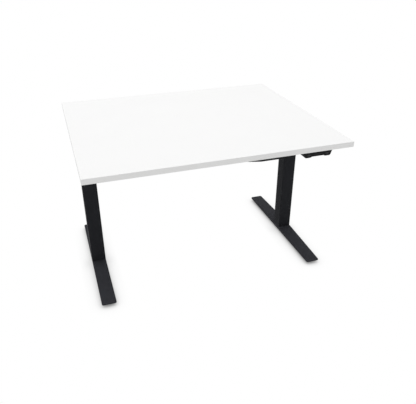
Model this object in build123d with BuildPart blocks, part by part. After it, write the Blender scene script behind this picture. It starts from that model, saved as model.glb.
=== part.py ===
import os
from math import acos, cos, pi, radians, sin, tan

from build123d import *

os.makedirs("parts", exist_ok=True)

# Height adjustable desk on two motor-driven lifting columns, each of three nested square tubes.
# Origin on the floor under the middle of the top, +X to the user's right, +Y away from the user,
# +Z up, in millimetres. The model stands at sitting height.

# Desk top: a coated board with a glued band on each edge
top_width = 1200
top_depth = 1000
top_thickness = 25
top_height = 740
lowest_height = 620
highest_height = 1270
band_thickness = 2
band_round = 1

# Column tubes, each stage smaller than the one around it
column_inset = 58
tube_size = 70
tube_wall = 2
tube_gap = 2.5
tube_corner = 4
base_plate = 5

# Moulded guides between the tubes
slide_gap = 0.3
sleeve_length = 60
rim_height = 4
lip_height = 2
stop_gap = 4

# Feet: shallow steel shells, highest under the column, open below
foot_length = 760
foot_clear = 16
foot_height = 20.5
foot_tip_height = 5.5
foot_saddle_length = 90
foot_wall = 3
foot_corner = 9
foot_round = 1.5
foot_bolt_offset = 22
foot_bolt_diameter = 8
foot_bolt_head_diameter = 13
foot_bolt_head_height = 5

# Levelling glides under the tips of the feet
glide_inset = 70
glide_pad_diameter = 34
glide_pad_height = 9
glide_hex_across = 17
glide_stud_diameter = 8
glide_cover = 2.5
glide_boss_diameter = 20

# Screws, nuts and posts along each column's axis
drive_screw_diameter = 12
hollow_screw_diameter = 20
thread_gap = 0.08
bore_gap = 0.5
post_wall = 3
post_gap = 1
mid_plate = 4
nut_height = 28
nut_wall = 2
flange_height = 5
flange_overhang = 1.5
thread_margin = 6
key_length = 10
key_width = 3
key_depth = 1.5
key_gap = 0.35

# Gear train in the case at each column's head
wheel_teeth = 24
idler_teeth = 16
pinion_teeth = 12
pressure_angle = 20
addendum = 0.8
dedendum = 1.2
backlash = 0.3
gear_width = 12
thrust_collar_diameter = 24
thrust_collar_height = 6
journal_diameter = 10
idler_pin_diameter = 8
idler_shoulder_diameter = 13
motor_shaft_diameter = 8
shaft_gap = 0.08

# Gear case and motor
case_height = 40
case_wall = 5
case_floor = 6
case_corner = 8
gear_room = 3
spigot_height = 20
spigot_wall = 8
spigot_gap = 0.1
case_boss_diameter = 13
motor_diameter = 58
motor_length = 112
motor_gap = 4
motor_round = 5
motor_cap_diameter = 32
motor_cap_height = 6
motor_gland_diameter = 14
motor_gland_reach = 8
motor_gland_round = 3
motor_shaft_depth = 28
motor_screw_diameter = 4
motor_screw_head_diameter = 7
motor_screw_head_height = 2.5
motor_screw_spacing = 40
motor_screw_depth = 9

# Frame under the top: a channel-shaped arm on each column, joined by two crossbars
arm_length = 860
arm_height = 40
arm_tip_height = 14
arm_web = 3
arm_wall = 3
arm_room = 3
arm_shoulder = 20
arm_corner = 8
bar_width = 30
bar_height = 34
bar_wall = 2
bar_gap = 12
bar_end_plate = 6
bar_bolt_spacing = 16
frame_bolt_diameter = 6
frame_bolt_head_diameter = 12
frame_bolt_head_height = 4
bar_bolt_length = 14
case_bolt_length = 20
bolt_gap = 0.1
clearance_gap = 0.25

# Screws that hold everything to the board
screw_diameter = 4.5
screw_head_diameter = 9
screw_head_height = 3
screw_depth = 14
screw_end_room = 1
arm_screw_inset = 25

# Control box behind the front edge
box_length = 238
box_depth = 100
box_height = 41
box_plate = 3
box_inset = 364
box_setback = 72
box_taper_length = 66
box_taper_rise = 8
box_round = 4
box_ear_length = 14
box_ear_width = 60
box_ear_screw_offset = 20
box_socket_widths = (14, 20, 20, 30)
box_socket_height = 12
box_socket_depth = 12
box_socket_gap = 12

# Hand control under the front edge
hand_width = 141
hand_slant = 8.5
hand_depth = 50
hand_height = 25
hand_recess = 4
hand_lobe_width = 34
hand_blend = 9
hand_corner = 8
hand_round = 1.5
hand_inset = 178
hand_setback = 2
hand_screw_spacing = 70
hand_screw_setback = 30
hand_screw_web = 5
button_width = 20
button_height = 11
button_stem = 4
button_proud = 1.2
button_travel = 1
button_gap = 0.3
lens_width = 46
lens_height = 11
lens_depth = 1.5
lens_corner = 2

# Heights that follow from the stack of pieces
z_under = top_height - top_thickness
z_foot = foot_clear + foot_height
foot_slope = (foot_height - foot_tip_height) / ((foot_length - foot_saddle_length) / 2)
glide_seat_height = foot_tip_height + foot_slope * glide_inset
glide_stud_length = glide_seat_height - glide_cover
z_base = z_foot + base_plate
z_case_top = z_under - arm_web
z_case = z_case_top - case_height
z_case_floor = z_case + case_floor
z_gear = z_case_floor + thrust_collar_height

# Travel: the middle stage covers half of the top's travel
lift_down = top_height - lowest_height
mid_rise = lift_down / 2
stage_travel = (highest_height - lowest_height) / 2

# Tubes in the lowest position, then at rest
mid_size = tube_size - 2 * (tube_wall + tube_gap)
inner_size = mid_size - 2 * (tube_wall + tube_gap)
inside_corner = tube_corner - tube_wall
mid_top_low = z_case - lift_down - stop_gap - rim_height
outer_top = mid_top_low - stop_gap - rim_height
mid_bottom_low = z_base + stop_gap
inner_bottom_low = mid_bottom_low + mid_plate + stop_gap
mid_top = mid_top_low + mid_rise
mid_bottom = mid_bottom_low + mid_rise
inner_bottom = inner_bottom_low + lift_down

# Screws and nuts: each thread stays in its nut over the whole stage
base_nut_bottom = mid_bottom_low + stage_travel + thread_margin
base_nut_top = base_nut_bottom + nut_height
flange_bottom = base_nut_top + stop_gap + mid_rise
mid_nut_bottom = flange_bottom + flange_height + slide_gap
mid_nut_top = mid_nut_bottom + nut_height
drive_bottom = flange_bottom - mid_rise - stage_travel - key_length - thread_margin + lift_down

# Radii along the column's axis, from the inside out
drive_radius = drive_screw_diameter / 2
hollow_bore = drive_radius + bore_gap
hollow_radius = hollow_screw_diameter / 2
base_post_bore = hollow_radius + post_gap
base_post_radius = base_post_bore + post_wall
mid_post_bore = base_post_radius + post_gap
flange_radius = mid_post_bore + flange_overhang
nut_bore = flange_radius + bore_gap
mid_post_radius = nut_bore + nut_wall

# Gear train: the motor hangs clear of the outer tube, and the gears fill the distance to it
column_x = top_width / 2 - column_inset
motor_offset = tube_size / 2 + motor_gap + motor_diameter / 2
gear_module = 2 * motor_offset / (wheel_teeth + 2 * idler_teeth + pinion_teeth)
idler_offset = gear_module * (wheel_teeth + idler_teeth) / 2
wheel_tip = gear_module * (wheel_teeth / 2 + addendum)
case_half = wheel_tip + gear_room + case_wall
case_boss_inset = case_boss_diameter / 2
case_length = motor_offset + 2 * case_half

# Frame
arm_width = 2 * (case_half + arm_room + arm_wall)
bar_y = case_half + bar_gap + bar_width / 2
arm_flat = bar_y + bar_width / 2 + arm_shoulder
z_bar_top = z_under - arm_web
z_bar_middle = z_bar_top - bar_height / 2

# Places of the control box and the hand control
box_x = top_width / 2 - box_inset
box_y = -top_depth / 2 + box_setback + box_depth / 2
z_box_top = z_under - box_plate
hand_x = top_width / 2 - hand_inset
hand_front = -top_depth / 2 + hand_setback
hand_screw_y = hand_front + hand_screw_setback
button_offset = (hand_width - hand_lobe_width) / 2 - hand_slant
z_button = z_under - hand_height / 2

# Each screw into the board: x, y and the height of the face under its head
arm_screw_last = arm_length / 2 - arm_screw_inset
arm_screw_reach = (arm_flat, (arm_flat + arm_screw_last) / 2, arm_screw_last)
board_screw_places = [
    (side * column_x, end * reach, z_under - arm_web)
    for side in (-1, 1)
    for end in (-1, 1)
    for reach in arm_screw_reach
]
board_screw_places += [
    (box_x + side * (box_length + box_ear_length) / 2, box_y + end * box_ear_screw_offset, z_box_top)
    for side in (-1, 1)
    for end in (-1, 1)
]
board_screw_places += [
    (hand_x + side * hand_screw_spacing / 2, hand_screw_y, z_under - hand_screw_web) for side in (-1, 1)
]

on_bottom = (Align.CENTER, Align.CENTER, Align.MIN)
on_top = (Align.CENTER, Align.CENTER, Align.MAX)


def save(builder, name):
    """Label a finished piece and write it."""
    builder.part.label = name
    export_step(builder.part, f"parts/{name}.step")


def ring(outer, outer_corner, inner, inner_corner):
    """Square ring with rounded corners, drawn in the current sketch."""
    RectangleRounded(outer, outer, outer_corner)
    RectangleRounded(inner, inner, inner_corner, mode=Mode.SUBTRACT)


def tooth_half_width(radius, pitch_radius):
    """Half the width of an involute tooth at a radius; below the base circle it stays radial."""
    base_radius = pitch_radius * cos(radians(pressure_angle))
    roll = acos(min(1, base_radius / radius))
    start = tan(radians(pressure_angle)) - radians(pressure_angle)
    pitch_half_angle = (pi * gear_module / 4 - backlash / 2) / pitch_radius
    return radius * sin(pitch_half_angle + start - (tan(roll) - roll))


def gear_outline(teeth, first_tooth):
    """Spur gear in the current sketch, with the first tooth at an angle from the X axis."""
    pitch_radius = gear_module * teeth / 2
    root = pitch_radius - dedendum * gear_module
    tip = pitch_radius + addendum * gear_module
    steps = (root - backlash, root, pitch_radius, tip)
    flank = [(radius, tooth_half_width(radius, pitch_radius)) for radius in steps]
    Circle(root)
    with PolarLocations(0, teeth, start_angle=first_tooth):
        Polygon(*flank, *[(x, -y) for x, y in reversed(flank)], align=None)


# Board, with a blind hole for each screw
with BuildPart() as board:
    with BuildSketch(Plane.XY.offset(z_under)):
        Rectangle(top_width - 2 * band_thickness, top_depth - 2 * band_thickness)
    extrude(amount=top_thickness)
    with BuildSketch(Plane.XY.offset(z_under)):
        with Locations(*[(x, y) for x, y, seat in board_screw_places]):
            Circle(screw_diameter / 2 + bolt_gap)
    extrude(amount=screw_depth + screw_end_room, mode=Mode.SUBTRACT)
save(board, "desktop_board")

# Edge bands: the long ones run the full width, the short ones fit between them
for name, end in (("front_edge_band", -1), ("rear_edge_band", 1)):
    with BuildPart() as long_band:
        with BuildSketch(Plane((0, end * (top_depth - band_thickness) / 2, z_under))):
            Rectangle(top_width, band_thickness)
        extrude(amount=top_thickness)
        outer_face = long_band.faces().sort_by(Axis.Y)[0 if end < 0 else -1]
        fillet(outer_face.edges(), band_round)
    save(long_band, name)

for name, side in (("left_edge_band", -1), ("right_edge_band", 1)):
    with BuildPart() as short_band:
        with BuildSketch(Plane((side * (top_width - band_thickness) / 2, 0, z_under))):
            Rectangle(band_thickness, top_depth - 2 * band_thickness)
        extrude(amount=top_thickness)
        outer_face = short_band.faces().sort_by(Axis.X)[0 if side < 0 else -1]
        fillet(outer_face.edges().filter_by(Axis.Y), band_round)
    save(short_band, name)

for side_name, side in (("left", -1), ("right", 1)):
    x = side * column_x
    inward = -side
    motor_x = x + inward * motor_offset
    idler_x = x + inward * idler_offset
    case_x = x + inward * motor_offset / 2
    axis_plane = Plane((x, 0, 0), x_dir=(1, 0, 0), z_dir=(0, -1, 0))
    glide_y = foot_length / 2 - glide_inset

    # Foot: a shell with a level seat under the column and a sloping top to each tip
    with BuildPart() as foot:
        with BuildSketch(Plane.YZ.offset(x - tube_size / 2)):
            Polygon(
                (-foot_length / 2, foot_clear),
                (foot_length / 2, foot_clear),
                (foot_length / 2, foot_clear + foot_tip_height),
                (foot_saddle_length / 2, z_foot),
                (-foot_saddle_length / 2, z_foot),
                (-foot_length / 2, foot_clear + foot_tip_height),
                align=None,
            )
        extrude(amount=tube_size)
        fillet(foot.edges().filter_by(Axis.Z), foot_corner)
        upper_faces = foot.faces().filter_by(lambda face: face.normal_at().Z > 0.5)
        ridges = foot.edges().filter_by(Axis.X).sort_by(Axis.Z)[-2:]
        fillet(upper_faces.edges() - ridges, foot_round)
        with BuildSketch(Plane.YZ.offset(x - tube_size / 2 + foot_wall)):
            Polygon(
                (-foot_length / 2 + foot_corner, foot_clear),
                (foot_length / 2 - foot_corner, foot_clear),
                (foot_length / 2 - foot_corner, foot_clear + foot_tip_height - foot_wall),
                (foot_saddle_length / 2, z_foot - base_plate),
                (-foot_saddle_length / 2, z_foot - base_plate),
                (-foot_length / 2 + foot_corner, foot_clear + foot_tip_height - foot_wall),
                align=None,
            )
        extrude(amount=tube_size - 2 * foot_wall, mode=Mode.SUBTRACT)
        with BuildSketch(Plane((x, 0, foot_clear))):
            with Locations((0, -glide_y), (0, glide_y)):
                Circle(glide_boss_diameter / 2)
        extrude(amount=glide_seat_height - foot_wall / 2)
        with BuildSketch(Plane((x, 0, foot_clear))):
            with Locations((0, -glide_y), (0, glide_y)):
                Circle(glide_stud_diameter / 2 + bolt_gap)
        extrude(amount=glide_stud_length + slide_gap, mode=Mode.SUBTRACT)
        with Locations(Plane((x, 0, z_foot))):
            with GridLocations(2 * foot_bolt_offset, 2 * foot_bolt_offset, 2, 2):
                Hole(foot_bolt_diameter / 2 + bolt_gap, depth=base_plate)
    save(foot, f"{side_name}_foot")

    # Levelling glides: pad, hexagon for the spanner and stud, screwed up to the foot
    for end_name, end in (("front", -1), ("rear", 1)):
        with BuildPart() as glide:
            with BuildSketch(Plane((x, end * glide_y, 0))):
                Circle(glide_pad_diameter / 2)
            extrude(amount=glide_pad_height)
            fillet(glide.edges().sort_by(Axis.Z)[-1], glide_pad_height / 3)
            with BuildSketch(Plane((x, end * glide_y, glide_pad_height))):
                RegularPolygon(glide_hex_across / 2, 6, major_radius=False)
            extrude(amount=foot_clear - glide_pad_height)
            with BuildSketch(Plane((x, end * glide_y, foot_clear))):
                Circle(glide_stud_diameter / 2)
            extrude(amount=glide_stud_length)
        save(glide, f"{end_name}_{side_name}_glide")

    # Outer tube on its base plate, which takes the bolts from the foot
    with BuildPart() as outer_tube:
        with BuildSketch(Plane((x, 0, z_foot))):
            RectangleRounded(tube_size, tube_size, tube_corner)
        extrude(amount=outer_top - z_foot)
        with BuildSketch(Plane((x, 0, z_base))):
            RectangleRounded(tube_size - 2 * tube_wall, tube_size - 2 * tube_wall, inside_corner)
        extrude(amount=outer_top - z_base, mode=Mode.SUBTRACT)
        with Locations(Plane((x, 0, z_base))):
            with GridLocations(2 * foot_bolt_offset, 2 * foot_bolt_offset, 2, 2):
                Hole(foot_bolt_diameter / 2 + bolt_gap, depth=base_plate)
    save(outer_tube, f"{side_name}_outer_tube")

    # Middle and inner tubes
    with BuildPart() as mid_tube:
        with BuildSketch(Plane((x, 0, mid_bottom))):
            ring(mid_size, tube_corner, mid_size - 2 * tube_wall, inside_corner)
        extrude(amount=mid_top - mid_bottom)
    save(mid_tube, f"{side_name}_mid_tube")

    with BuildPart() as inner_tube:
        with BuildSketch(Plane((x, 0, inner_bottom))):
            ring(inner_size, tube_corner, inner_size - 2 * tube_wall, inside_corner)
        extrude(amount=z_case - inner_bottom)
    save(inner_tube, f"{side_name}_inner_tube")

    # Mouth collars: a rim on the tube's end and a sleeve that guides the next stage
    for stage, size, mouth in (("outer", tube_size, outer_top), ("mid", mid_size, mid_top)):
        bore = size - 2 * (tube_wall + tube_gap) + 2 * slide_gap
        with BuildPart() as collar:
            with BuildSketch(Plane((x, 0, mouth))):
                ring(size, tube_corner, bore, tube_corner + slide_gap)
            extrude(amount=rim_height)
            with BuildSketch(Plane((x, 0, mouth))):
                ring(size - 2 * tube_wall, inside_corner, bore, tube_corner + slide_gap)
            extrude(amount=-sleeve_length)
            rim_edges = collar.faces().sort_by(Axis.Z)[-1].outer_wire().edges()
            fillet(rim_edges, rim_height / 4)
        save(collar, f"{side_name}_{stage}_collar")

    # Lower guides: a sleeve round each inner stage's foot, hooked under its end
    for stage, size, foot_end in (("mid", mid_size, mid_bottom), ("inner", inner_size, inner_bottom)):
        with BuildPart() as sleeve:
            with BuildSketch(Plane((x, 0, foot_end - lip_height))):
                outside = size + 2 * (tube_gap - slide_gap)
                RectangleRounded(outside, outside, inside_corner)
                RectangleRounded(size, size, tube_corner, mode=Mode.SUBTRACT)
            extrude(amount=sleeve_length + lip_height)
            with BuildSketch(Plane((x, 0, foot_end - lip_height))):
                ring(size, tube_corner, size - 2 * tube_wall, inside_corner)
            extrude(amount=lip_height)
        save(sleeve, f"{side_name}_{stage}_sleeve")

    # Base post and its nut, which the hollow screw climbs
    with BuildPart() as base_post:
        with BuildSketch(Plane((x, 0, z_base))):
            Circle(base_post_radius)
            Circle(base_post_bore, mode=Mode.SUBTRACT)
        extrude(amount=base_nut_bottom - z_base)
    save(base_post, f"{side_name}_base_post")

    with BuildPart() as base_nut:
        with BuildSketch(Plane((x, 0, base_nut_bottom))):
            Circle(base_post_radius)
            Circle(hollow_radius + thread_gap, mode=Mode.SUBTRACT)
        extrude(amount=nut_height)
    save(base_nut, f"{side_name}_base_nut")

    # Middle post on its plate in the middle tube, carrying the middle nut
    with BuildPart() as mid_post:
        with BuildSketch(Plane((x, 0, mid_bottom))):
            plate_size = mid_size - 2 * tube_wall
            RectangleRounded(plate_size, plate_size, inside_corner)
            Circle(mid_post_bore, mode=Mode.SUBTRACT)
        extrude(amount=mid_plate)
        with BuildSketch(Plane((x, 0, mid_bottom))):
            Circle(mid_post_radius)
            Circle(mid_post_bore, mode=Mode.SUBTRACT)
        extrude(amount=flange_bottom - mid_bottom)
    save(mid_post, f"{side_name}_mid_post")

    with BuildPart() as mid_nut:
        with BuildSketch(axis_plane):
            with BuildLine():
                Polyline(
                    (nut_bore, flange_bottom),
                    (mid_post_radius, flange_bottom),
                    (mid_post_radius, mid_nut_top),
                    (drive_radius + thread_gap, mid_nut_top),
                    (drive_radius + thread_gap, mid_nut_bottom),
                    (nut_bore, mid_nut_bottom),
                    close=True,
                )
            make_face()
        revolve(axis=Axis((x, 0, 0), (0, 0, 1)))
    save(mid_nut, f"{side_name}_mid_nut")

    # Hollow screw: threaded outside, with a flange under the middle nut and a key inside
    with BuildPart() as hollow_screw:
        with BuildSketch(Plane((x, 0, mid_bottom))):
            Circle(hollow_radius)
            Circle(hollow_bore, mode=Mode.SUBTRACT)
        extrude(amount=flange_bottom - mid_bottom)
        with BuildSketch(Plane((x, 0, flange_bottom))):
            Circle(flange_radius)
            Circle(hollow_bore, mode=Mode.SUBTRACT)
        extrude(amount=flange_height)
        with BuildSketch(Plane((x, 0, flange_bottom - key_length))):
            with Locations((drive_radius - key_depth + key_gap, 0)):
                Rectangle(
                    hollow_radius - drive_radius + key_depth - key_gap,
                    key_width - 2 * key_gap,
                    align=(Align.MIN, Align.CENTER),
                )
        extrude(amount=key_length)
    save(hollow_screw, f"{side_name}_hollow_screw")

    # Drive screw: keyway along the shank, thrust collar and journal in the gear case
    with BuildPart() as drive_screw:
        with BuildSketch(Plane((x, 0, drive_bottom))):
            Circle(drive_radius)
            with Locations((drive_radius, 0)):
                Rectangle(2 * key_depth, key_width, mode=Mode.SUBTRACT)
        extrude(amount=z_case - drive_bottom)
        with BuildSketch(Plane((x, 0, z_case))):
            Circle(drive_radius)
        extrude(amount=case_floor)
        with BuildSketch(Plane((x, 0, z_case_floor))):
            Circle(thrust_collar_diameter / 2)
        extrude(amount=thrust_collar_height)
        with BuildSketch(Plane((x, 0, z_gear))):
            Circle(journal_diameter / 2)
        extrude(amount=gear_width + stop_gap)
    save(drive_screw, f"{side_name}_drive_screw")

    # Gears: screw gear on the journal, idler on its pin, pinion in one piece with the motor shaft
    with BuildPart() as screw_gear:
        with BuildSketch(Plane((x, 0, z_gear))):
            gear_outline(wheel_teeth, 0)
            Circle(journal_diameter / 2 + spigot_gap, mode=Mode.SUBTRACT)
        extrude(amount=gear_width)
    save(screw_gear, f"{side_name}_screw_gear")

    with BuildPart() as idler_gear:
        with BuildSketch(Plane((idler_x, 0, z_gear))):
            gear_outline(idler_teeth, 180 / idler_teeth)
            Circle(idler_pin_diameter / 2 + shaft_gap, mode=Mode.SUBTRACT)
        extrude(amount=gear_width)
    save(idler_gear, f"{side_name}_idler_gear")

    with BuildPart() as pinion:
        with BuildSketch(Plane((motor_x, 0, z_gear))):
            gear_outline(pinion_teeth, 0)
        extrude(amount=gear_width)
        with BuildSketch(Plane((motor_x, 0, z_gear))):
            Circle(motor_shaft_diameter / 2)
        extrude(amount=z_case - z_gear - motor_shaft_depth)
    save(pinion, f"{side_name}_motor_pinion")

    # Gear case: an open-topped casting under the arm, with a spigot in the inner tube
    with BuildPart() as gear_case:
        with BuildSketch(Plane((case_x, 0, z_case))):
            RectangleRounded(case_length, 2 * case_half, case_corner)
        extrude(amount=case_height)
        with BuildSketch(Plane((case_x, 0, z_case_floor))):
            RectangleRounded(
                case_length - 2 * case_wall, 2 * (case_half - case_wall), case_corner - case_wall
            )
        extrude(amount=case_height - case_floor, mode=Mode.SUBTRACT)
        with BuildSketch(Plane((case_x, 0, z_case_floor))):
            with GridLocations(
                case_length - 2 * case_boss_inset, 2 * (case_half - case_boss_inset), 2, 2
            ):
                Circle(case_boss_diameter / 2)
        extrude(amount=case_height - case_floor)
        with Locations(Plane((case_x, 0, z_case_top))):
            with GridLocations(
                case_length - 2 * case_boss_inset, 2 * (case_half - case_boss_inset), 2, 2
            ):
                Hole(frame_bolt_diameter / 2 + bolt_gap, depth=case_bolt_length + screw_end_room)
        with BuildSketch(Plane((x, 0, z_case))):
            spigot_size = inner_size - 2 * (tube_wall + spigot_gap)
            RectangleRounded(spigot_size, spigot_size, inside_corner)
            Circle(spigot_size / 2 - spigot_wall, mode=Mode.SUBTRACT)
        extrude(amount=-spigot_height)
        with BuildSketch(Plane((x, 0, z_case))):
            Circle(drive_radius + shaft_gap)
        extrude(amount=case_floor, mode=Mode.SUBTRACT)
        with BuildSketch(Plane((idler_x, 0, z_case_floor))):
            Circle(idler_shoulder_diameter / 2)
        extrude(amount=thrust_collar_height)
        with BuildSketch(Plane((idler_x, 0, z_gear))):
            Circle(idler_pin_diameter / 2)
        extrude(amount=gear_width + stop_gap)
        with BuildSketch(Plane((motor_x, 0, z_case))):
            Circle(motor_shaft_diameter / 2 + bore_gap)
            with GridLocations(1, motor_screw_spacing, 1, 2):
                Circle(motor_screw_diameter / 2 + bolt_gap)
        extrude(amount=case_floor, mode=Mode.SUBTRACT)
    save(gear_case, f"{side_name}_gear_case")

    # Motor: a can with a rear bearing cap, a bore for its shaft and a closed cord gland
    with BuildPart() as motor:
        with BuildSketch(Plane((motor_x, 0, z_case))):
            Circle(motor_diameter / 2)
        extrude(amount=-motor_length)
        fillet(motor.edges().sort_by(Axis.Z)[0], motor_round)
        with BuildSketch(Plane((motor_x, 0, z_case - motor_length))):
            Circle(motor_cap_diameter / 2)
        extrude(amount=-motor_cap_height)
        gland_z = z_case - motor_length + motor_round + motor_gland_diameter
        with BuildSketch(Plane((motor_x, 0, gland_z), x_dir=(0, 1, 0), z_dir=(inward, 0, 0))):
            Circle(motor_gland_diameter / 2)
        extrude(amount=motor_diameter / 2 + motor_gland_reach)
        fillet(motor.faces().sort_by(Axis((0, 0, 0), (inward, 0, 0)))[-1].edges(), motor_gland_round)
        with BuildSketch(Plane((motor_x, 0, z_case))):
            Circle(motor_shaft_diameter / 2 + shaft_gap)
        extrude(amount=-motor_shaft_depth - screw_end_room, mode=Mode.SUBTRACT)
        with BuildSketch(Plane((motor_x, 0, z_case))):
            with GridLocations(1, motor_screw_spacing, 1, 2):
                Circle(motor_screw_diameter / 2 + bolt_gap)
        extrude(amount=-motor_screw_depth - screw_end_room, mode=Mode.SUBTRACT)
    save(motor, f"{side_name}_motor")

    # Side arm: a channel that thins to its tips, with a tongue over the gear case
    with BuildPart() as side_arm:
        with BuildSketch(Plane.YZ.offset(x - arm_width / 2)):
            Polygon(
                (-arm_length / 2, z_under),
                (arm_length / 2, z_under),
                (arm_length / 2, z_under - arm_tip_height),
                (arm_flat, z_under - arm_height),
                (-arm_flat, z_under - arm_height),
                (-arm_length / 2, z_under - arm_tip_height),
                align=None,
            )
        extrude(amount=arm_width)
        fillet(side_arm.edges().filter_by(Axis.Z), arm_corner)
        with BuildSketch(Plane((x, 0, z_under - arm_web))):
            RectangleRounded(arm_width - 2 * arm_wall, arm_length - 2 * arm_wall, arm_corner - arm_wall)
        extrude(amount=-arm_height, mode=Mode.SUBTRACT)
        with BuildSketch(Plane((x + inward * arm_width / 2, 0, z_under - arm_web))):
            Rectangle(2 * arm_wall + arm_room, 2 * (case_half + clearance_gap))
        extrude(amount=-arm_height, mode=Mode.SUBTRACT)
        with BuildSketch(Plane((case_x, 0, z_under - arm_web))):
            RectangleRounded(case_length, 2 * case_half, case_corner)
        extrude(amount=arm_web)
        with BuildSketch(Plane((x, 0, z_under - arm_web))):
            with Locations(*[(0, end * reach) for end in (-1, 1) for reach in arm_screw_reach]):
                Circle(screw_diameter / 2 + clearance_gap)
        extrude(amount=arm_web, mode=Mode.SUBTRACT)
        with Locations(Plane((case_x, 0, z_under))):
            with GridLocations(
                case_length - 2 * case_boss_inset, 2 * (case_half - case_boss_inset), 2, 2
            ):
                CounterSinkHole(
                    frame_bolt_diameter / 2 + clearance_gap,
                    frame_bolt_head_diameter / 2 + clearance_gap,
                    depth=arm_web,
                )
        with BuildSketch(Plane((x, 0, z_bar_middle), x_dir=(0, 1, 0), z_dir=(inward, 0, 0))):
            with GridLocations(2 * bar_y, bar_bolt_spacing, 2, 2):
                Circle(frame_bolt_diameter / 2 + clearance_gap)
        extrude(amount=arm_width / 2, mode=Mode.SUBTRACT)
    save(side_arm, f"{side_name}_side_arm")

# Crossbars: box section between the arms, with a tapped plate in each end
bar_end = column_x - arm_width / 2
for name, end in (("front_crossbar", -1), ("rear_crossbar", 1)):
    with BuildPart() as crossbar:
        with BuildSketch(Plane((-bar_end, end * bar_y, z_bar_middle), x_dir=(0, 1, 0), z_dir=(1, 0, 0))):
            Rectangle(bar_width, bar_height)
        extrude(amount=2 * bar_end)
        hollow_start = -bar_end + bar_end_plate
        with BuildSketch(
            Plane((hollow_start, end * bar_y, z_bar_middle), x_dir=(0, 1, 0), z_dir=(1, 0, 0))
        ):
            Rectangle(bar_width - 2 * bar_wall, bar_height - 2 * bar_wall)
        extrude(amount=-2 * hollow_start, mode=Mode.SUBTRACT)
        with BuildSketch(Plane((-bar_end, end * bar_y, z_bar_middle), x_dir=(0, 1, 0), z_dir=(1, 0, 0))):
            with GridLocations(1, bar_bolt_spacing, 1, 2):
                Circle(frame_bolt_diameter / 2 + bolt_gap)
        extrude(amount=2 * bar_end, mode=Mode.SUBTRACT)
    save(crossbar, name)

# Frame bolts: arm to gear case, crossbar to arm, motor to gear case
with BuildPart() as frame_bolts:
    for side in (-1, 1):
        x = side * column_x
        inward = -side
        with Locations(Plane((x + inward * motor_offset / 2, 0, z_under), z_dir=(0, 0, -1))):
            with GridLocations(
                case_length - 2 * case_boss_inset, 2 * (case_half - case_boss_inset), 2, 2
            ):
                Cone(
                    frame_bolt_head_diameter / 2,
                    frame_bolt_diameter / 2,
                    (frame_bolt_head_diameter - frame_bolt_diameter) / 2,
                    align=on_bottom,
                )
                Cylinder(frame_bolt_diameter / 2, arm_web + case_bolt_length, align=on_bottom)
        wall_x = x + inward * (arm_width / 2 - arm_wall)
        with Locations(Plane((wall_x, 0, z_bar_middle), x_dir=(0, 1, 0), z_dir=(inward, 0, 0))):
            with GridLocations(2 * bar_y, bar_bolt_spacing, 2, 2):
                Cylinder(frame_bolt_head_diameter / 2, frame_bolt_head_height, align=on_top)
                Cylinder(frame_bolt_diameter / 2, bar_bolt_length, align=on_bottom)
        with Locations(Plane((x + inward * motor_offset, 0, z_case_floor))):
            with GridLocations(1, motor_screw_spacing, 1, 2):
                Cylinder(motor_screw_head_diameter / 2, motor_screw_head_height, align=on_bottom)
                Cylinder(motor_screw_diameter / 2, case_floor + motor_screw_depth, align=on_top)
save(frame_bolts, "frame_bolts")

# Foot bolts: up through the foot's seat into the column's base plate
with BuildPart() as foot_bolts:
    for side in (-1, 1):
        with Locations(Plane((side * column_x, 0, z_foot - base_plate))):
            with GridLocations(2 * foot_bolt_offset, 2 * foot_bolt_offset, 2, 2):
                Cylinder(foot_bolt_head_diameter / 2, foot_bolt_head_height, align=on_top)
                Cylinder(foot_bolt_diameter / 2, 2 * base_plate, align=on_bottom)
save(foot_bolts, "foot_bolts")

# Board screws: arms, control box and hand control to the underside of the board
with BuildPart() as board_screws:
    for x, y, seat in board_screw_places:
        with Locations((x, y, seat)):
            Cylinder(screw_head_diameter / 2, screw_head_height, align=on_top)
            Cylinder(screw_diameter / 2, z_under + screw_depth - seat, align=on_bottom)
save(board_screws, "board_screws")

# Control box base plate, with an ear at each end for its screws
with BuildPart() as box_base:
    with BuildSketch(Plane((box_x, box_y, z_box_top))):
        Rectangle(box_length, box_depth)
        RectangleRounded(box_length + 2 * box_ear_length, box_ear_width, box_round)
        with GridLocations(box_length + box_ear_length, 2 * box_ear_screw_offset, 2, 2):
            Circle(screw_diameter / 2 + clearance_gap, mode=Mode.SUBTRACT)
    extrude(amount=box_plate)
save(box_base, "control_box_base")

# Control box cover: tapered ends, and a row of cord sockets along its rear face
with BuildPart() as box_cover:
    with BuildSketch(Plane((box_x, box_y - box_depth / 2, z_box_top), x_dir=(1, 0, 0), z_dir=(0, -1, 0))):
        half_length = box_length / 2
        Polygon(
            (-half_length, 0),
            (half_length, 0),
            (half_length, box_taper_rise - box_height),
            (half_length - box_taper_length, -box_height),
            (box_taper_length - half_length, -box_height),
            (-half_length, box_taper_rise - box_height),
            align=None,
        )
    extrude(amount=-box_depth)
    fillet(box_cover.edges().filter_by(Axis.Z), box_round)
    row_length = sum(box_socket_widths) + box_socket_gap * (len(box_socket_widths) - 1)
    with BuildSketch(
        Plane((box_x, box_y + box_depth / 2, z_box_top - box_height / 2), x_dir=(1, 0, 0), z_dir=(0, 1, 0))
    ):
        for index, width in enumerate(box_socket_widths):
            start = sum(box_socket_widths[:index]) + index * box_socket_gap - row_length / 2
            with Locations((start + width / 2, 0)):
                Rectangle(width, box_socket_height)
    extrude(amount=-box_socket_depth, mode=Mode.SUBTRACT)
save(box_cover, "control_box_cover")

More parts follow.
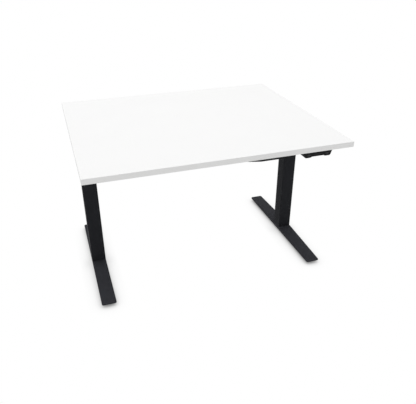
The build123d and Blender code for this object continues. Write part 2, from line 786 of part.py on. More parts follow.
# Hand control: a moulded body that narrows downwards, with a rounded lobe under each end
with BuildPart() as hand_housing:
    front_plane = Plane((hand_x, hand_front, z_under), x_dir=(1, 0, 0), z_dir=(0, -1, 0))
    with BuildSketch(front_plane) as hand_profile:
        half_width = hand_width / 2
        low_end = half_width - hand_slant
        lobe_end = low_end - hand_lobe_width
        Polygon(
            (-half_width, 0),
            (half_width, 0),
            (low_end, -hand_height),
            (lobe_end + hand_blend, -hand_height),
            (lobe_end, hand_recess - hand_height),
            (-lobe_end, hand_recess - hand_height),
            (-lobe_end - hand_blend, -hand_height),
            (-low_end, -hand_height),
            align=None,
        )
        fillet(hand_profile.vertices().filter_by_position(Axis.Y, -hand_height, -hand_recess), hand_corner)
    extrude(amount=-hand_depth)
    rim = hand_housing.faces().sort_by(Axis.Y)[0].edges()
    fillet(rim.filter_by_position(Axis.Z, 0, z_under - hand_recess), hand_round)
    with BuildSketch(front_plane):
        for side in (-1, 1):
            with Locations((side * button_offset, z_button - z_under)):
                SlotOverall(button_width + 2 * button_gap, button_height + 2 * button_gap)
    extrude(amount=-button_stem - button_travel, mode=Mode.SUBTRACT)
    with BuildSketch(front_plane):
        with Locations((0, z_button - z_under)):
            RectangleRounded(lens_width, lens_height, lens_corner)
    extrude(amount=-lens_depth, mode=Mode.SUBTRACT)
    with BuildSketch(Plane((hand_x, hand_screw_y, z_under))):
        with GridLocations(hand_screw_spacing, 1, 2, 1):
            Circle(screw_diameter / 2 + clearance_gap)
    extrude(amount=-hand_height, mode=Mode.SUBTRACT)
    with BuildSketch(Plane((hand_x, hand_screw_y, z_under - hand_screw_web))):
        with GridLocations(hand_screw_spacing, 1, 2, 1):
            Circle(screw_head_diameter / 2 + clearance_gap)
    extrude(amount=-hand_height, mode=Mode.SUBTRACT)
save(hand_housing, "handset_housing")

with BuildPart() as hand_lens:
    with BuildSketch(front_plane):
        with Locations((0, z_button - z_under)):
            RectangleRounded(lens_width, lens_height, lens_corner)
    extrude(amount=-lens_depth)
save(hand_lens, "handset_lens")

# Up and down buttons, proud of the front face by more than their travel
for name, side in (("up_button", -1), ("down_button", 1)):
    with BuildPart() as button:
        with BuildSketch(front_plane.offset(button_proud)):
            with Locations((side * button_offset, z_button - z_under)):
                SlotOverall(button_width, button_height)
        extrude(amount=-button_proud - button_stem)
        fillet(button.faces().sort_by(Axis.Y)[0].edges(), button_proud / 2)
    save(button, name)
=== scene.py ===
from math import ceil, pi, radians, sin

import bmesh
import bpy
import numpy as np
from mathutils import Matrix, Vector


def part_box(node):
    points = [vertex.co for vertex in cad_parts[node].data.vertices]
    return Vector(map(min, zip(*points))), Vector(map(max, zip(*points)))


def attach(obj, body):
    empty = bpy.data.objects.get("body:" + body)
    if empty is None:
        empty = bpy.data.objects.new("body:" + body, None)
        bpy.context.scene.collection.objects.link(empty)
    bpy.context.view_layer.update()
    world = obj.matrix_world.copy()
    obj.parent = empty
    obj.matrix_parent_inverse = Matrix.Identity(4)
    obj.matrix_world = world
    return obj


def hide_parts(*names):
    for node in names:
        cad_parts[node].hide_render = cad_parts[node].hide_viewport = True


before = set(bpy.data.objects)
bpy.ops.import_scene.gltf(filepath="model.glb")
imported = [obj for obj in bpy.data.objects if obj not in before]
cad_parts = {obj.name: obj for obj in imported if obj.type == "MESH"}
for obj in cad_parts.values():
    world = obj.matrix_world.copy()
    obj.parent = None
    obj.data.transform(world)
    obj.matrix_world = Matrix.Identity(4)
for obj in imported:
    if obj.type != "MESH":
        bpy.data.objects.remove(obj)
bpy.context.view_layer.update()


# Desk top: a chipboard panel with white melamine pressed onto both faces, screwed to the frame from
# below. Its faces have a fine pearl grain that softens what they reflect.
class Wire:
    """One socket of a finish's node tree. Arithmetic on it adds Math nodes, node() adds any other."""

    def __init__(self, tree, socket=None):
        self.tree = tree
        self.socket = socket

    def node(self, kind, settings, sockets, output=0):
        """A node of this kind: its settings come first, then a value or a link for each socket."""
        added = self.tree.nodes.new("ShaderNode" + kind)
        for name, value in settings.items():
            setattr(added, name, value)
        for name, value in sockets.items():
            if isinstance(value, Wire):
                self.tree.links.new(value.socket, added.inputs[name])
            else:
                added.inputs[name].default_value = value
        return Wire(self.tree, added.outputs[output] if added.outputs else None)

    def other(self, output):
        """Another output of the same node."""
        return Wire(self.tree, self.socket.node.outputs[output])

    def math(self, operation, first, second=0):
        """A Math node on two values or links."""
        return self.node("Math", {"operation": operation}, {0: first, 1: second})

    def __add__(self, value):
        return self.math("ADD", self, value)

    def __radd__(self, value):
        return self.math("ADD", value, self)

    def __sub__(self, value):
        return self.math("SUBTRACT", self, value)

    def __rsub__(self, value):
        return self.math("SUBTRACT", value, self)

    def __mul__(self, value):
        return self.math("MULTIPLY", self, value)

    def __rmul__(self, value):
        return self.math("MULTIPLY", value, self)

    def ramp(self, start, end):
        """0 where this value is at start or beyond it, 1 at end or beyond it, straight between."""
        return self.node("MapRange", {}, {"Value": self, "From Min": start, "From Max": end})

    def tint(self, low, high):
        """The colour low where this value is 0, high where it is 1, and a mix between. A Mix node takes its
        colours at sockets 6 and 7 and gives their mix at output 2."""
        return self.node("Mix", {"data_type": "RGBA"}, {0: self, 6: (*low, 1), 7: (*high, 1)}, 2)

    def noise(self, scale, detail=2):
        """Cloudy noise over these coordinates, with scale clouds in a metre."""
        return self.node("TexNoise", {}, {"Vector": self, "Scale": scale, "Detail": detail})

    def stretched(self, x, y, z):
        """These coordinates multiplied along each axis."""
        return self.node("Mapping", {}, {"Vector": self, "Scale": (x, y, z)})


def new_finish(name):
    """An empty material, and the Object coordinates that its patterns are laid out on."""
    finish = bpy.data.materials.new(name)
    finish.use_nodes = True
    finish.node_tree.nodes.clear()
    return finish, Wire(finish.node_tree).node("TexCoord", {}, {}, "Object")


def lay(place, relief, depth, sockets):
    """Close a finish: a principled surface with these sockets, which relief raises by up to a depth."""
    normal = place.node("Bump", {}, {"Height": relief, "Distance": depth})
    skin = place.node("BsdfPrincipled", {}, {**sockets, "Normal": normal})
    place.node("OutputMaterial", {}, {"Surface": skin})


def dress(finish, *names):
    """Give a finish to CAD nodes."""
    for name in names:
        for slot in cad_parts[name].material_slots:
            slot.material = finish


laminate, place = new_finish("white_laminate")
pearl = place.noise(scale=900, detail=3)
cloud = place.noise(scale=7).ramp(0.35, 0.65)
lay(place, pearl, depth=0.00006, sockets={
    "Base Color": (0.5 * pearl + 0.5 * cloud).tint((0.892, 0.892, 0.890), (0.902, 0.902, 0.900)),
    "Roughness": 0.36 + 0.12 * pearl,
})
dress(laminate, "desktop_board")

# Edge bands: strips of white plastic, glued hot to the board's four sides and milled round at both
# corners. Milling leaves faint lines along the strip.
edge, place = new_finish("white_edge")
milled = place.stretched(6, 6, 1800).noise(scale=1, detail=3)
cloud = place.noise(scale=9).ramp(0.35, 0.65)
lay(place, milled, depth=0.00003, sockets={
    "Base Color": (0.5 * milled + 0.5 * cloud).tint((0.865, 0.865, 0.86), (0.895, 0.895, 0.89)),
    "Roughness": 0.42 + 0.1 * milled,
})
dress(edge, "front_edge_band", "rear_edge_band", "left_edge_band", "right_edge_band")


# Feet: shallow steel shells, welded from sheet and powder coated dark grey, bolted under each column.
# The coat has a fine orange-peel relief, and its crests are a little paler.
def powder_coat(name, dark, pale, peel_scale):
    """Powder coat: small domes of cloudy noise, with a faint mottle over some centimetres."""
    coat, place = new_finish(name)
    peel = place.noise(scale=peel_scale, detail=2)
    mottle = place.noise(scale=18, detail=3).ramp(0.3, 0.7)
    lay(place, peel, depth=0.00018, sockets={
        "Base Color": (0.6 * peel.ramp(0.35, 0.65) + 0.4 * mottle).tint(dark, pale),
        "Roughness": 0.6 + 0.14 * peel + 0.06 * mottle,
        "Specular IOR Level": 0.1,
    })
    return coat


foot_paint = powder_coat(
    "foot_paint", dark=(0.0265, 0.0272, 0.0320), pale=(0.0380, 0.0390, 0.0458), peel_scale=620
)
dress(foot_paint, "left_foot", "right_foot")

# Levelling glides: black rubber pads moulded onto zinc plated studs, which screw into the tips of the
# feet. Above the pad a stud has a hexagon for a spanner, chamfered at its upper corners, then its thread.
rubber, place = new_finish("glide_rubber")
pores = place.noise(scale=1600, detail=3)
lay(place, pores, depth=0.0001, sockets={
    "Base Color": pores.tint((0.016, 0.016, 0.016), (0.034, 0.034, 0.035)),
    "Roughness": 0.62 + 0.2 * pores,
})
zinc, place = new_finish("fastener_steel")
plating = place.noise(scale=700, detail=3)
lay(place, plating, depth=0.00003, sockets={
    "Base Color": plating.tint((0.36, 0.36, 0.37), (0.56, 0.56, 0.55)),
    "Roughness": 0.24 + 0.2 * plating,
    "Metallic": 1,
})
spokes = 48
spoke_angle = np.linspace(0, 2 * pi, spokes + 1)
same_place = 1e-7
sharp_angle = radians(30)
up = (0, 0, 1)


def turned(*profile):
    """Rings of a turned or milled shape. Each has a radius, the same all round or one for each spoke, and
    a height."""
    radius, height = zip(*profile)
    all_round = np.zeros(spokes + 1)
    return tuple(np.stack([all_round + ring for ring in values]) for values in (radius, height))


def threaded(bottom, top, lead, starts, profile):
    """A screw thread. Its profile, in shares of the pitch and radii, repeats for each start and is
    carried along a helix that rises by one lead a turn. Beyond either end it runs out on the core, which
    is its first radius."""
    shares, radii = np.array(profile).T
    fall = np.append((np.arange(starts)[:, None] + shares) / starts, 1)
    ridge = np.append(np.tile(radii, starts), radii[0])
    turn = np.arange(spokes * (ceil((top - bottom) / lead) + 1) + 1) / spokes
    height = bottom + lead * (turn - fall[:, None])
    within = (height > bottom) & (height < top)
    return np.where(within, ridge[:, None], radii[0]), np.clip(height, bottom, top)


def thread_profile(core, crest, flat, flank):
    """One pitch of a thread, as shares of the pitch and radii: a flat at the core, a flank, a flat at the
    crest and a flank back."""
    return (0, core), (flat, core), (flat + flank, crest), (2 * flat + flank, crest)


def polygon_reach(sides, inside):
    """From the middle of a regular polygon to its edge, on each spoke: the inside radius over the cosine
    of the angle to the middle of the nearest side. A corner lies on spoke 0."""
    return inside / np.cos(spoke_angle % (2 * pi / sides) - pi / sides)


def around(centres, outward, start, radius, height):
    """Grids of points round an axis through each centre, from its outward end down. The point in row k
    and column s lies radius[k, s] from the axis and height[k, s] along outward, s spokes from start."""
    angle = np.arange(radius.shape[1])[:, None] * 2 * pi / spokes
    spoke = np.cos(angle) * start + np.sin(angle) * np.cross(outward, start)
    rows = radius[..., None] * spoke + height[..., None] * np.asarray(outward)
    return np.asarray(centres)[:, None, None] + rows


def upright(x, y, rings):
    """The grid of one shape that stands upright, with its heights measured from the floor."""
    return around([(x, y, 0)], up, (1, 0, 0), *rings)


def make(name, body, slot, finish, *grids):
    """One piece from grids of points: four neighbours make a face, and points in one place are joined."""
    points, quads, count = [], [], 0
    for grid in grids:
        index = count + np.arange(grid[..., 0].size).reshape(grid.shape[:-1])
        corners = index[:, :-1, :-1], index[:, 1:, :-1], index[:, 1:, 1:], index[:, :-1, 1:]
        points.append(grid.reshape(-1, 3))
        quads.append(np.stack(corners, axis=-1).reshape(-1, 4))
        count += index.size
    mesh = bpy.data.meshes.new(name)
    points, quads = np.concatenate(points).tolist(), np.concatenate(quads).tolist()
    mesh.from_pydata(points, [], quads, shade_flat=False)
    joined = bmesh.new()
    joined.from_mesh(mesh)
    bmesh.ops.remove_doubles(joined, verts=joined.verts, dist=same_place)
    joined.to_mesh(mesh)
    joined.free()
    mesh.set_sharp_from_angle(angle=sharp_angle)
    mesh.materials.append(finish)
    piece = bpy.data.objects.new(name, mesh)
    bpy.context.scene.collection.objects.link(piece)
    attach(piece, body)
    return piece


pad_radius = 0.017
pad_height = 0.009
pad_round = 0.003
pad_bevel = 0.0008
bend_steps = 6
bend = np.linspace(0, pi / 2, bend_steps + 1)
shoulder_radius = pad_radius - pad_round * (1 - np.sin(bend))
shoulder_height = pad_height - pad_round * (1 - np.cos(bend))
pad_rings = turned(
    (0, pad_height), *zip(shoulder_radius, shoulder_height),
    (pad_radius, pad_bevel), (pad_radius - pad_bevel, 0), (0, 0),
)
foot_low, foot_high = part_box("right_foot")
stud_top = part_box("front_right_glide")[1].z
stud_pitch = 0.00125
stud_core = 0.0033
stud_crest = 0.00395
stud_profile = thread_profile(stud_core, stud_crest, flat=0.2, flank=0.3)
stud_end = turned((0, stud_top), (stud_core, stud_top))
stud_thread = threaded(foot_low.z, stud_top, stud_pitch, starts=1, profile=stud_profile)
hexagon_inside = 0.0085
hexagon_bevel = 0.0005
hexagon_sunk = 0.0008
hexagon = polygon_reach(sides=6, inside=hexagon_inside)
hexagon_foot = pad_height - hexagon_sunk
hexagon_rings = turned(
    (stud_core, foot_low.z), (np.minimum(hexagon, hexagon_inside + hexagon_bevel), foot_low.z),
    (hexagon, foot_low.z - hexagon_bevel), (hexagon, hexagon_foot), (0, hexagon_foot),
)
glide_inset = 0.07
glide_y = foot_high.y - glide_inset
column_x = (foot_low.x + foot_high.x) / 2
corners = (
    ("front_left", -column_x, -glide_y), ("front_right", column_x, -glide_y),
    ("rear_left", -column_x, glide_y), ("rear_right", column_x, glide_y),
)
for corner, x, y in corners:
    body = f"{corner}_foot_glide"
    pad = make(f"{corner}_glide_pad", body, "glide_rubber", rubber, upright(x, y, pad_rings))
    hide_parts(f"{corner}_glide")
    make(
        f"{corner}_glide_stud", body, "fastener_steel", zinc,
        upright(x, y, stud_end), upright(x, y, stud_thread), upright(x, y, hexagon_rings),
    )

# Column tubes: three nested square steel tubes on each side, powder coated like the feet but finer,
# because each one slides inside the next.
column_paint = powder_coat(
    "column_paint", dark=(0.0124, 0.0130, 0.0153), pale=(0.0184, 0.0193, 0.0224), peel_scale=900
)
for side in ("left", "right"):
    dress(column_paint, f"{side}_outer_tube", f"{side}_mid_tube", f"{side}_inner_tube")

# Guides: black acetal collars pressed into the mouths of the tubes and sleeves snapped on their feet.
# The mould leaves a dull, even grain.
acetal, place = new_finish("guide_plastic")
grain = place.noise(scale=1300, detail=2)
lay(place, grain, depth=0.00005, sockets={
    "Base Color": grain.tint((0.010, 0.010, 0.0105), (0.018, 0.018, 0.019)),
    "Roughness": 0.38 + 0.18 * grain,
    "Specular IOR Level": 0.35,
})
for side in ("left", "right"):
    dress(acetal, f"{side}_outer_collar", f"{side}_mid_collar")
    dress(acetal, f"{side}_mid_sleeve", f"{side}_inner_sleeve")

# Posts: drawn steel tubes on each column's axis, one on the base plate and one in the middle tube.
# Drawing leaves marks along their length.
drawn, place = new_finish("post_steel")
marks = place.stretched(900, 900, 7).noise(scale=1, detail=3)
lay(place, marks, depth=0.00004, sockets={
    "Base Color": marks.tint((0.40, 0.40, 0.41), (0.56, 0.56, 0.57)),
    "Roughness": 0.26 + 0.22 * marks,
    "Metallic": 1,
})
for side in ("left", "right"):
    dress(drawn, f"{side}_base_post", f"{side}_mid_post")

# Nuts: natural acetal, held at the heads of the posts, where the lifting screws run through them.
# They are turned from bar, which leaves fine rings.
natural, place = new_finish("nut_plastic")
rings = place.stretched(40, 40, 2600).noise(scale=1, detail=2)
lay(place, rings, depth=0.00005, sockets={
    "Base Color": rings.tint((0.68, 0.66, 0.58), (0.80, 0.78, 0.71)),
    "Roughness": 0.34 + 0.16 * rings,
})
for side in ("left", "right"):
    dress(natural, f"{side}_base_nut", f"{side}_mid_nut")

# Lifting screws: rolled steel, greased. On each column's axis a drive screw with four starts hangs in the
# gear case and turns inside a hollow screw with two, which it takes along by a key in its keyway. Collar
# and flange turn on a film of grease.
rolled, place = new_finish("screw_steel")
grease = place.noise(scale=160, detail=3)
grain = place.noise(scale=1400, detail=2)
lay(place, grain, depth=0.00003, sockets={
    "Base Color": (0.4 * grain + 0.6 * grease).tint((0.26, 0.25, 0.23), (0.50, 0.50, 0.50)),
    "Roughness": 0.2 + 0.25 * grease,
    "Metallic": 1,
})
lead = 0.01
screw_flat = 0.366
screw_flank = 0.134
bevel = 0.001
grease_film = 0.00002


def flat_reach(columns, distance, half_width):
    """From the axis to a flat that faces the first spoke, on each column that meets it, else no limit."""
    angle = np.arange(columns) * 2 * pi / spokes
    meets = (np.cos(angle) > 0) & (np.abs(distance * np.tan(angle)) < half_width)
    return np.where(meets, distance / np.cos(angle), np.inf)


drive_radius = 0.006
drive_core = 0.00475
drive_crest = 0.00595
drive_thread_top = 0.6
journal_radius = 0.005
collar_radius = 0.012
collar_height = 0.006
case_floor = 0.006
keyway_floor = 0.0045
keyway_half_width = 0.0015
low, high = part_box("right_drive_screw")
thread_foot = low.z + bevel
collar_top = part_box("right_screw_gear")[0].z
collar_foot = collar_top - collar_height + grease_film
keyway_top = collar_foot - case_floor
keyway = flat_reach(spokes + 1, keyway_floor, keyway_half_width)
keyed_radius = np.minimum(drive_radius, keyway)
keyed_core = np.minimum(drive_core, keyway)
drive_head = turned(
    (0, high.z), (journal_radius - bevel, high.z), (journal_radius, high.z - bevel),
    (journal_radius, collar_top), (collar_radius - bevel, collar_top),
    (collar_radius, collar_top - bevel), (collar_radius, collar_foot), (drive_radius, collar_foot),
    (drive_radius, keyway_top), (keyed_radius, keyway_top), (keyed_radius, drive_thread_top),
    (keyed_core, drive_thread_top),
)
drive_starts = 4
drive_profile = thread_profile(drive_core, drive_crest, screw_flat, screw_flank)
ridge, rise = threaded(thread_foot, drive_thread_top, lead, drive_starts, drive_profile)
keyed_ridge = np.minimum(ridge, flat_reach(ridge.shape[1], keyway_floor, keyway_half_width))
drive_end = turned((keyed_core, thread_foot), (drive_core - bevel, low.z), (0, low.z))
for side, x in (("left", -column_x), ("right", column_x)):
    drive = make(
        f"{side}_threaded_drive_screw", f"{side}_drive_shaft", "screw_steel", rolled,
        upright(x, 0, drive_head), upright(x, 0, (keyed_ridge, rise)), upright(x, 0, drive_end),
    )
    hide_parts(f"{side}_drive_screw")

hollow_radius = 0.01
hollow_core = 0.0084
hollow_crest = 0.00995
hollow_bore = 0.0065
neck_height = 0.002
flange_radius = 0.0165
flange_height = 0.005
key_length = 0.01
key_reach = 0.00485
key_half_width = 0.00115
low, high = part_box("right_hollow_screw")
flange_foot = high.z - flange_height + grease_film
neck_foot = flange_foot - neck_height
key_foot = flange_foot - key_length
keyed_bore = np.minimum(hollow_bore, flat_reach(spokes + 1, key_reach, key_half_width))
hollow_head = turned(
    (hollow_bore, low.z), (hollow_bore, key_foot), (keyed_bore, key_foot), (keyed_bore, flange_foot),
    (hollow_bore, flange_foot), (hollow_bore, high.z), (flange_radius - bevel, high.z),
    (flange_radius, high.z - bevel), (flange_radius, flange_foot), (hollow_radius, flange_foot),
    (hollow_radius, neck_foot), (hollow_core, neck_foot),
)
hollow_starts = 2
hollow_profile = thread_profile(hollow_core, hollow_crest, screw_flat, screw_flank)
hollow_thread = threaded(low.z, neck_foot, lead, hollow_starts, hollow_profile)
hollow_end = turned((hollow_core, low.z), (hollow_bore, low.z))
for side, x in (("left", -column_x), ("right", column_x)):
    hollow = make(
        f"{side}_threaded_hollow_screw", f"{side}_hollow_shaft", "screw_steel", rolled,
        upright(x, 0, hollow_head), upright(x, 0, hollow_thread), upright(x, 0, hollow_end),
    )
    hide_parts(f"{side}_hollow_screw")

# Gears: pressed and sintered from steel powder, a wheel on each drive screw, an idler on a pin of the
# gear case and a pinion in one piece with the motor's shaft. Pressing leaves an even grain.
sintered, place = new_finish("gear_steel")
pressed = place.noise(scale=2200, detail=2)
stain = place.noise(scale=90, detail=2)
lay(place, pressed, depth=0.00005, sockets={
    "Base Color": (0.6 * pressed + 0.4 * stain).tint((0.34, 0.34, 0.35), (0.52, 0.52, 0.52)),
    "Roughness": 0.34 + 0.2 * pressed,
    "Metallic": 1,
})
for side in ("left", "right"):
    dress(sintered, f"{side}_screw_gear", f"{side}_idler_gear", f"{side}_motor_pinion")

# Gear cases: die cast in aluminium and blasted, bolted up under the arms, with a spigot in each inner
# tube. The metal's flow shows as a faint mottle.
cast, place = new_finish("case_aluminium")
blast = place.noise(scale=1500, detail=3)
flow = place.noise(scale=35, detail=3)
lay(place, blast, depth=0.00012, sockets={
    "Base Color": (0.5 * blast + 0.5 * flow).tint((0.44, 0.445, 0.45), (0.60, 0.60, 0.605)),
    "Roughness": 0.46 + 0.2 * blast,
    "Metallic": 1,
})
dress(cast, "left_gear_case", "right_gear_case")

# Motors: deep-drawn steel cans with a black zinc coat, screwed to the gear cases and hanging beside the
# columns. Drawing leaves marks along the can.
can, place = new_finish("motor_shell")
draw = place.stretched(500, 500, 9).noise(scale=1, detail=3)
lay(place, draw, depth=0.00005, sockets={
    "Base Color": draw.tint((0.018, 0.018, 0.018), (0.032, 0.032, 0.033)),
    "Roughness": 0.34 + 0.2 * draw,
    "Specular IOR Level": 0.4,
})
dress(can, "left_motor", "right_motor")

# Frame: an arm of pressed sheet steel on each column, and two box-section crossbars bolted between them.
# They are powder coated like the columns.
frame_paint = powder_coat(
    "frame_paint", dark=(0.010, 0.0102, 0.011), pale=(0.016, 0.0164, 0.0178), peel_scale=700
)
dress(frame_paint, "left_side_arm", "right_side_arm", "front_crossbar", "rear_crossbar")

# Fasteners: zinc plated steel, cold headed. Board screws hold the frame, the box and the hand control to
# the board and have a cross recess. The bolts of the crossbars and of the feet have a hexagon socket.
dress(zinc, "frame_bolts", "foot_bolts", "board_screws")


def recessed_heads(name, body, centres, outward, start, radius, crown, reach):
    """Domed heads on the flat ends of bolts. The height falls from the crown as the square of the radius.
    Within the recess's reach lies a floor just above the flat end, and the rim goes a little into it."""
    dome_shares = 0, 0.3, 0.65, 1
    rim_inset = 0.00005
    recess_floor = 0.0001
    recess_draft = 0.85
    sunk = 0.0003
    rim = radius - rim_inset
    dome_rings = [reach + share * (rim - reach) for share in dome_shares]
    dome = [(ring, crown * (1 - (ring / rim) ** 2)) for ring in dome_rings]
    recess = (0, recess_floor), (recess_draft * reach, recess_floor)
    rings = turned(*recess, *dome, (rim, -sunk), (0, -sunk))
    make(name, body, "fastener_steel", zinc, around(centres, outward, start, *rings))


down = (0, 0, -1)
screw_radius = 0.0045
screw_crown = 0.0011
screw_head_height = 0.003
cross_arm = 0.0026
cross_arm_edge = sin(radians(15))
# The cross reaches as far as an arm's end, or as its straight side where a spoke meets that first.
off_arm = np.minimum(np.abs(np.sin(spoke_angle)), np.abs(np.cos(spoke_angle)))
cross_reach = cross_arm * cross_arm_edge / np.maximum(off_arm, cross_arm_edge)
arm_shoulder = 0.02
ear_screw_inset = 0.007
ear_screw_offset = 0.02
hand_screw_offset = 0.035
low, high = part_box("board_screws")
ear_low, ear_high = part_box("control_box_base")
hand_low, hand_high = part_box("handset_housing")
bar_low, bar_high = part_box("rear_crossbar")
screws_in_row = 3
arm_screw_rows = np.linspace(bar_high.y + arm_shoulder, high.y - screw_radius, screws_in_row)
plate_screw_face = ear_low.z - screw_head_height
screw_faces = [
    (side * column_x, end * row, plate_screw_face)
    for side in (-1, 1) for end in (-1, 1) for row in arm_screw_rows
]
screw_faces += [
    (x, (ear_low.y + ear_high.y) / 2 + end * ear_screw_offset, plate_screw_face)
    for x in (ear_low.x + ear_screw_inset, ear_high.x - ear_screw_inset) for end in (-1, 1)
]
screw_faces += [
    ((hand_low.x + hand_high.x) / 2 + side * hand_screw_offset, low.y + screw_radius, low.z)
    for side in (-1, 1)
]
recessed_heads(
    "board_screw_heads", "top", screw_faces, down, (1, 0, 0), screw_radius, screw_crown, cross_reach
)

foot_bolt_radius = 0.0065
foot_bolt_crown = 0.0015
foot_bolt_socket = polygon_reach(sides=6, inside=0.0025)
low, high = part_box("foot_bolts")
foot_bolt_offset = high.y - foot_bolt_radius
foot_bolt_faces = [
    (side * column_x + x * foot_bolt_offset, y * foot_bolt_offset, low.z)
    for side in (-1, 1) for x in (-1, 1) for y in (-1, 1)
]
recessed_heads(
    "foot_bolt_heads", "base", foot_bolt_faces, down, (1, 0, 0),
    foot_bolt_radius, foot_bolt_crown, foot_bolt_socket,
)

bar_bolt_radius = 0.006
bar_bolt_crown = 0.0014
bar_bolt_socket = polygon_reach(sides=6, inside=0.002)
bar_bolt_head_height = 0.004
bar_bolt_offset = 0.008
arm_wall = 0.003
bar_bolt_x = bar_high.x + arm_wall + bar_bolt_head_height
bar_y = (bar_low.y + bar_high.y) / 2
bar_z = (bar_low.z + bar_high.z) / 2
for name, side in (("left", -1), ("right", 1)):
    bar_bolt_faces = [
        (side * bar_bolt_x, end * bar_y, bar_z + z * bar_bolt_offset) for end in (-1, 1) for z in (-1, 1)
    ]
    recessed_heads(
        f"{name}_bar_bolt_heads", "top", bar_bolt_faces, (side, 0, 0), up,
        bar_bolt_radius, bar_bolt_crown, bar_bolt_socket,
    )

# Control box: a black moulded cover on a folded steel plate, screwed to the underside behind the front
# edge. In each socket of the row on its rear face stand tinned contact pins, posts with a bevelled end.
box_plastic, place = new_finish("box_plastic")
spark = place.noise(scale=1500, detail=3)
lay(place, spark, depth=0.00008, sockets={
    "Base Color": spark.tint((0.005, 0.005, 0.0054), (0.010, 0.010, 0.0107)),
    "Roughness": 0.5 + 0.2 * spark,
    "Specular IOR Level": 0.15,
})
dress(box_plastic, "control_box_cover")
plate_paint = powder_coat(
    "box_plate", dark=(0.012, 0.012, 0.0125), pale=(0.020, 0.020, 0.021), peel_scale=800
)
dress(plate_paint, "control_box_base")
# For each socket: the name of its pins, its width, pins across and down, their pitch and their radius.
sockets = (
    ("hand_socket_pins", 0.014, 4, 1, 0.0025, 0.0005),
    ("left_motor_socket_pins", 0.02, 3, 2, 0.0045, 0.0008),
    ("right_motor_socket_pins", 0.02, 3, 2, 0.0045, 0.0008),
    ("mains_socket_pins", 0.03, 3, 1, 0.008, 0.002),
)
socket_depth = 0.012
socket_gap = 0.012
pin_length = 0.008
pin_sunk = 0.0005
pin_bevel_share = 0.4
low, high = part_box("control_box_cover")
row_length = sum(socket[1] for socket in sockets) + socket_gap * (len(sockets) - 1)
row_z = (low.z + high.z) / 2
socket_start = (low.x + high.x - row_length) / 2
for name, width, columns, rows, pitch, pin_radius in sockets:
    pin_feet = [
        (socket_start + width / 2 + column * pitch, high.y - socket_depth, row_z + row * pitch)
        for column in np.arange(columns) - (columns - 1) / 2 for row in np.arange(rows) - (rows - 1) / 2
    ]
    pin_bevel = pin_bevel_share * pin_radius
    pin_rings = turned(
        (0, pin_length), (pin_radius - pin_bevel, pin_length), (pin_radius, pin_length - pin_bevel),
        (pin_radius, -pin_sunk), (0, -pin_sunk),
    )
    make(name, "top", "fastener_steel", zinc, around(pin_feet, (0, 1, 0), up, *pin_rings))
    socket_start += width + socket_gap

# Hand control: a black moulded housing with two lobes, one for each button, screwed up behind the edge.
# A smoked display window is glued into its front.
hand_plastic, place = new_finish("handset_plastic")
spark = place.noise(scale=1700, detail=3)
lay(place, spark, depth=0.00007, sockets={
    "Base Color": spark.tint((0.005, 0.005, 0.0054), (0.010, 0.010, 0.0107)),
    "Roughness": 0.5 + 0.2 * spark,
    "Specular IOR Level": 0.12,
})
dress(hand_plastic, "handset_housing")
smoked, place = new_finish("handset_glass")
smudge = place.noise(scale=120, detail=3)
lay(place, smudge, depth=0.000002, sockets={
    "Base Color": smudge.tint((0.004, 0.004, 0.0045), (0.008, 0.008, 0.009)),
    "Roughness": 0.06 + 0.14 * smudge,
    "Specular IOR Level": 0.15,
})
dress(smoked, "handset_lens")

# Buttons: dark grey moulded caps that slide in the lobes of the hand control.
# A triangle is moulded on each cap in a paler plastic, pointing the way the top then moves.
button_plastic, place = new_finish("button_plastic")
spark = place.noise(scale=2400, detail=2)
lay(place, spark, depth=0.00004, sockets={
    "Base Color": spark.tint((0.011, 0.011, 0.0118), (0.019, 0.019, 0.0204)),
    "Roughness": 0.46 + 0.15 * spark,
    "Specular IOR Level": 0.2,
})
dress(button_plastic, "up_button", "down_button")
mark_plastic, place = new_finish("mark_plastic")
spark = place.noise(scale=2400, detail=2)
lay(place, spark, depth=0.00003, sockets={
    "Base Color": spark.tint((0.05, 0.05, 0.052), (0.075, 0.075, 0.078)),
    "Roughness": 0.5 + 0.15 * spark,
    "Specular IOR Level": 0.2,
})
mark_proud = 0.00018
mark_bevel = 0.00012
mark_sunk = 0.0003
mark_taper = 0.9
triangle = polygon_reach(sides=3, inside=0.0016)
mark_rings = turned(
    (0, mark_proud), (mark_taper * triangle, mark_proud), (triangle, mark_proud - mark_bevel),
    (triangle, -mark_sunk), (0, -mark_sunk),
)
for name, point in (("up_button", up), ("down_button", down)):
    low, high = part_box(name)
    cap_face = [((low.x + high.x) / 2, low.y, (low.z + high.z) / 2)]
    make(
        f"{name}_mark", name, "button_plastic", mark_plastic,
        around(cap_face, (0, -1, 0), point, *mark_rings),
    )

# Studio: a pale floor in a white room, a broad lamp overhead and a weak one at the left.
# The camera sees the floor as white, with a painted shade close under the feet, painted into its emission
# colour from ambient occlusion.
floor_reach = 20
floor_mesh = bpy.data.meshes.new("floor")
floor_corners = [
    (x * floor_reach, y * floor_reach, 0) for x, y in ((-1, -1), (1, -1), (1, 1), (-1, 1))
]
floor_mesh.from_pydata(floor_corners, [], [(0, 1, 2, 3)])
floor = bpy.data.objects.new("floor", floor_mesh)
bpy.context.scene.collection.objects.link(floor)
shade_distance = 0.07
shade_power = 1.2


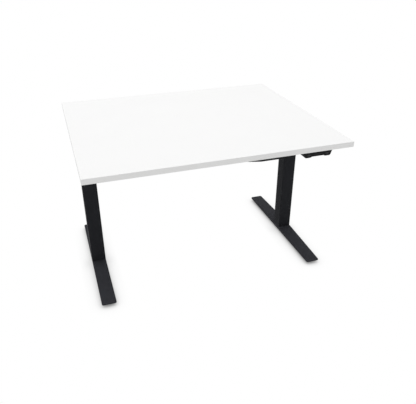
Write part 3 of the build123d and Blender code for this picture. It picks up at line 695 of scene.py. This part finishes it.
def seen_share(place):
    """1 for rays from the camera, straight, by reflection or through glass, and 0 for all others."""
    ray = place.node("LightPath", {}, {}, "Is Camera Ray")
    return ray.math("MINIMUM", ray + ray.other("Is Glossy Ray") + ray.other("Is Transmission Ray"), 1)


floor_white, place = new_finish("floor_white")
# Painted shade: the floor's emission colour goes dark where ambient occlusion finds parts close above it,
# as under the feet.
open_air = place.node("AmbientOcclusion", {"samples": 16}, {"Distance": shade_distance}, "AO")
shade = place.math("POWER", 1 - open_air, shade_power)
matt = place.node("BsdfDiffuse", {}, {"Color": (0.85, 0.85, 0.85, 1)})
glow = place.node("Emission", {}, {"Color": shade.tint((1, 1, 1), (0, 0, 0))})
mixed = place.node("MixShader", {}, {0: seen_share(place), 1: matt, 2: glow})
place.node("OutputMaterial", {}, {"Surface": mixed})
floor_mesh.materials.append(floor_white)

world = bpy.data.worlds.new("room")
bpy.context.scene.world = world
world.use_nodes = True
world.node_tree.nodes.clear()
room = Wire(world.node_tree)
walls = room.node("Background", {}, {"Color": seen_share(room).tint((0.64, 0.64, 0.64), (1, 1, 1))})
room.node("OutputWorld", {}, {"Surface": walls})


def lamp(name, width, depth, power, location, rotation):
    """A rectangular soft lamp, turned from pointing straight down."""
    data = bpy.data.lights.new(name, "AREA")
    data.shape = "RECTANGLE"
    data.size = width
    data.size_y = depth
    data.energy = power
    light = bpy.data.objects.new(name, data)
    light.location = location
    light.rotation_euler = rotation
    bpy.context.scene.collection.objects.link(light)


lamp("overhead", width=6, depth=6, power=107, location=(-0.3, 0.2, 4.6), rotation=(0, 0, 0))
lamp("left", width=3, depth=2.4, power=2, location=(-3.6, -0.4, 1.9), rotation=(0, radians(-68), 0))

# Camera: in front of the desk, above its top and left of its middle, with a lens of about normal angle.
# Its place was solved from the four edges of the top.
camera_data = bpy.data.cameras.new("camera")
camera_data.sensor_width = 36
camera_data.lens = 42.415
camera = bpy.data.objects.new("camera", camera_data)
camera.location = (-0.67425, -2.23007, 1.56617)
camera.rotation_euler = (radians(60.989), 0, radians(-18.64))
bpy.context.scene.collection.objects.link(camera)
bpy.context.scene.camera = camera
bpy.context.scene.view_settings.view_transform = "Standard"
